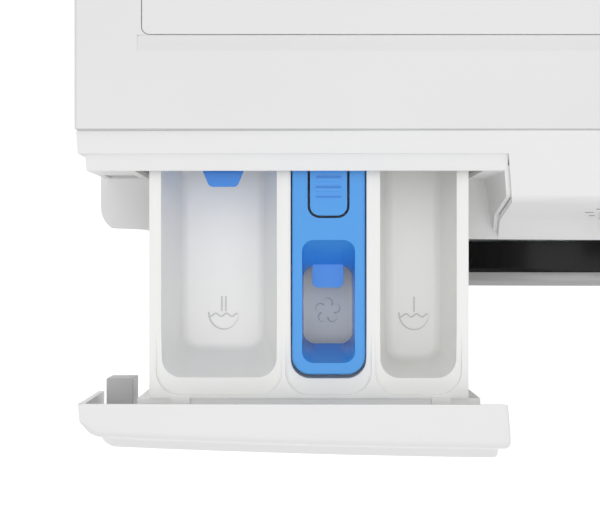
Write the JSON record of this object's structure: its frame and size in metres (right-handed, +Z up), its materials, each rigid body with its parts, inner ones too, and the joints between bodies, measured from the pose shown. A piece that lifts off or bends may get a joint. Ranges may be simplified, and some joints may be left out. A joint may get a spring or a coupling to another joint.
{
  "type": "front load washing machine",
  "caption": "Free-standing front load washing machine with a pulled-out three-compartment detergent drawer, blue softener insert, round glass door and knob.",
  "frame": {"origin": "on the floor under the middle of the whole object, drawer pulled out", "axes": "+Z up, +X to the right as seen from the front, +Y from the door towards the back"},
  "size_m": [0.6, 0.6836, 0.85],
  "materials": {
    "white_enamel": "smooth enamel on steel",
    "white_plastic": "fine satin moulding",
    "drawer_white": "glossy moulding",
    "tray_white": "glossy moulding",
    "softener_blue": "glossy blue moulding",
    "guide_grey": "satin grey moulding",
    "board_laminate": "white laminate on chipboard",
    "door_black": "glossy black moulding",
    "door_silver": "silver-grey lacquered moulding",
    "display_dark": "smoked lens",
    "bowl_glass": "clear pressed glass",
    "stainless": "brushed stainless",
    "zinc_steel": "zinc plated",
    "cast_alloy": "as cast",
    "grey_rubber": "matte rubber",
    "black_rubber": "matte rubber",
    "tub_plastic": "filled polypropylene",
    "concrete": "cast concrete",
    "pcb": "printed board",
    "dark_plastic": "matte moulding"
  },
  "bodies": {
    "cabinet": {"cabinet_wrap": "white_enamel", "front_panel": "white_enamel", "kick_plate": "white_plastic", "worktop_frame": "white_plastic", "worktop_board": "board_laminate", "rear_panel": "white_enamel", "base_pan": "dark_plastic", "top_brace": "zinc_steel", "control_fascia": "white_plastic", "display_window": "display_dark", "control_board": "pcb", "dispenser_housing": "white_plastic", "dispenser_cover": "white_plastic", "dispenser_hose": "black_rubber", "inlet_hose": "black_rubber", "inlet_valve": "white_plastic", "tub_front": "tub_plastic", "tub_rear": "tub_plastic", "drum_bearings": "stainless", "door_gasket": "grey_rubber", "counterweight_top": "concrete", "counterweight_front": "concrete", "suspension_springs": "zinc_steel", "damper_cylinders": "dark_plastic", "damper_rods": "dark_plastic", "motor": "cast_alloy", "drive_belt": "black_rubber", "heater_element": "zinc_steel", "drain_pump": "white_plastic", "door_lock": "dark_plastic", "hinge_bracket": "cast_alloy", "levelling_feet": "black_rubber", "foot_lock_nuts": "zinc_steel", "transit_caps": "white_plastic", "cable_gland": "dark_plastic", "drain_outlet": "dark_plastic"},
    "drawer": {"drawer_front": "drawer_white", "drawer_tray": "tray_white", "softener_cap": "softener_blue", "drawer_guide": "guide_grey"},
    "release": {"release_tab": "softener_blue"},
    "flap": {"liquid_flap": "softener_blue"},
    "door": {"door_outer_ring": "door_black", "door_rim": "door_silver", "door_inner_frame": "white_plastic", "door_glass": "bowl_glass", "door_hook": "zinc_steel", "hinge_leaf": "cast_alloy"},
    "handle": {"door_handle": "door_silver"},
    "drum": {"drum_shell": "stainless", "drum_lifters": "tub_plastic", "drum_spider": "cast_alloy", "drum_pulley": "cast_alloy"},
    "rotor": {"motor_pulley": "zinc_steel"},
    "knob": {"programme_knob": "door_silver"},
    "power": {"power_button": "door_silver"},
    "start": {"start_button": "door_silver"},
    "hatch": {"filter_hatch": "white_plastic"},
    "filter": {"filter_cap": "dark_plastic"}
  },
  "joints": [
    {"name": "drawer_slide", "type": "slide", "parent": "cabinet", "child": "drawer", "axis": [0, 1, 0], "range_m": [0, 0.1268]},
    {"name": "release_press", "type": "hinge", "parent": "drawer", "child": "release", "pos_m": [-0.17235, -0.15097, 0.8166], "axis": [1, 0, 0], "range_deg": [0, 5], "stiffness_Nm_per_rad": 0.4},
    {"name": "flap_swing", "type": "hinge", "parent": "drawer", "child": "flap", "pos_m": [-0.22895, -0.17797, 0.814], "axis": [1, 0, 0], "range_deg": [0, 85]},
    {"name": "door_swing", "type": "hinge", "parent": "cabinet", "child": "door", "pos_m": [-0.239, -0.23098, 0.44], "axis": [0, 0, 1], "range_deg": [-130, 0]},
    {"name": "handle_pull", "type": "hinge", "parent": "door", "child": "handle", "pos_m": [0.199, -0.24047, 0.44], "axis": [0, 0, 1], "range_deg": [-18, 0], "stiffness_Nm_per_rad": 0.8},
    {"name": "drum_spin", "type": "hinge", "parent": "cabinet", "child": "drum", "pos_m": [0, 0.08203, 0.44], "axis": [0, 1, 0], "continuous": true},
    {"name": "motor_spin", "type": "hinge", "parent": "cabinet", "child": "rotor", "pos_m": [0.159, 0.25202, 0.1646], "axis": [0, 1, 0], "continuous": true},
    {"name": "knob_turn", "type": "hinge", "parent": "cabinet", "child": "knob", "pos_m": [0, -0.21798, 0.789], "axis": [0, 1, 0], "continuous": true},
    {"name": "power_press", "type": "slide", "parent": "cabinet", "child": "power", "axis": [0, 1, 0], "range_m": [0, 0.002], "stiffness_N_per_m": 400},
    {"name": "start_press", "type": "slide", "parent": "cabinet", "child": "start", "axis": [0, 1, 0], "range_m": [0, 0.002], "stiffness_N_per_m": 400},
    {"name": "hatch_tip", "type": "hinge", "parent": "cabinet", "child": "hatch", "pos_m": [0.19, -0.21137, 0.0424], "axis": [0.9996, 0.0292, 0], "range_deg": [0, 85]},
    {"name": "filter_twist", "type": "hinge", "parent": "cabinet", "child": "filter", "pos_m": [0.19, -0.18798, 0.068], "axis": [0, 1, 0], "range_deg": [0, 90]}
  ],
  "couplings": [
    {"joint": "motor_spin", "follows": "drum_spin", "ratio": 12.727}
  ]
}
